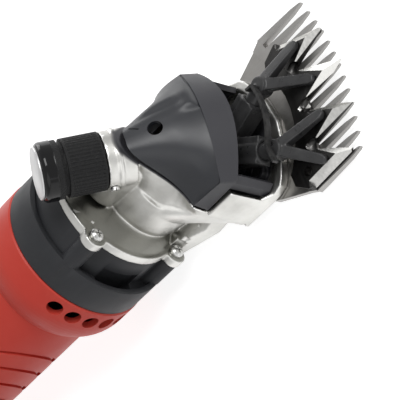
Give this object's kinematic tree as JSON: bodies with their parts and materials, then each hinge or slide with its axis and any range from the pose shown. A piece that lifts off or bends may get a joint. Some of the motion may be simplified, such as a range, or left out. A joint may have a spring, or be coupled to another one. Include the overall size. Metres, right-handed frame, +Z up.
{
  "type": "sheep shears",
  "caption": "Corded electric sheep shears: round motor handle, geared cast head with tension knob, plastic cover, swinging cutter and toothed comb.",
  "frame": {"origin": "centre of the cable inlet on the motor axis, at the rear face of the handle", "axes": "+X forward along the motor axis to the comb, +Y to the left, +Z up on the side of the tension knob"},
  "size_m": [0.335, 0.077, 0.0904],
  "materials": {
    "red_plastic": "satin",
    "black_plastic": "satin",
    "cover_plastic": "satin",
    "switch_plastic": "gloss",
    "knob_plastic": "matte",
    "plate_aluminium": "brushed",
    "cast_aluminium": "bead blasted",
    "screw_steel": "satin",
    "steel": "ground",
    "blade_steel": "ground",
    "dark_steel": "blackened",
    "core_steel": "laminated",
    "copper": "enamelled",
    "brass": "satin",
    "carbon": "matte",
    "rubber": "matte"
  },
  "bodies": {
    "handpiece": {"motor_housing": "red_plastic", "rear_cap": "black_plastic", "rear_cap_screws": "screw_steel", "cable_gland": "rubber", "switch_frame": "black_plastic", "switch_body": "black_plastic", "field_core": "core_steel", "field_coils": "copper", "rear_bearing": "steel", "front_bearing": "steel", "brush_holders": "brass", "carbon_brushes": "carbon", "brush_caps": "black_plastic", "gear_case": "black_plastic", "crank_bush": "brass", "crank_bearing": "steel", "head_casting": "cast_aluminium", "flange_screws": "screw_steel", "boss_lock_screw": "screw_steel", "head_cover": "cover_plastic", "centre_post": "steel", "comb": "blade_steel", "comb_screws": "dark_steel", "tension_sleeve": "steel"},
    "armature": {"armature_shaft": "steel", "armature_core": "core_steel", "armature_windings": "copper", "commutator": "copper", "cooling_fan": "black_plastic", "motor_pinion": "steel"},
    "crank": {"crank_shaft": "steel", "drive_gear": "steel"},
    "roller": {"crank_roller": "brass"},
    "rocker": {"rocker": "dark_steel", "left_fork": "dark_steel", "right_fork": "dark_steel", "retaining_spring": "dark_steel", "cutter": "blade_steel"},
    "tension": {"tension_pin": "steel", "tension_spring": "steel"},
    "knob": {"tension_knob": "knob_plastic", "knob_plate": "plate_aluminium"},
    "switch": {"switch_rocker": "switch_plastic"}
  },
  "joints": [
    {"name": "armature_spin", "type": "hinge", "parent": "handpiece", "child": "armature", "pos_m": [0.14, 0, 0], "axis": [1, 0, 0], "continuous": true},
    {"name": "crank_spin", "type": "hinge", "parent": "handpiece", "child": "crank", "pos_m": [0.225, 0, -0.015], "axis": [1, 0, 0], "continuous": true},
    {"name": "roller_spin", "type": "hinge", "parent": "crank", "child": "roller", "pos_m": [0.253, 0.00245, -0.015], "axis": [1, 0, 0], "continuous": true},
    {"name": "rocker_swing", "type": "hinge", "parent": "handpiece", "child": "rocker", "pos_m": [0.27, 0, -0.02], "axis": [0, 0, 1], "range_deg": [0, 16.4]},
    {"name": "tension_slide", "type": "slide", "parent": "handpiece", "child": "tension", "axis": [-0.5736, 0, 0.8192], "range_m": [0, 0.003]},
    {"name": "knob_turn", "type": "hinge", "parent": "tension", "child": "knob", "pos_m": [0.2516, 0, 0.0263], "axis": [-0.5736, 0, 0.8192], "range_deg": [0, 720]},
    {"name": "switch_tilt", "type": "hinge", "parent": "handpiece", "child": "switch", "pos_m": [0.025, 0, 0.0226], "axis": [0, -1, 0], "range_deg": [0, 14]}
  ],
  "couplings": [
    {"joint": "crank_spin", "follows": "armature_spin", "ratio": -0.29032},
    {"joint": "knob_turn", "follows": "tension_slide", "rad_per_m": 4188.8}
  ]
}
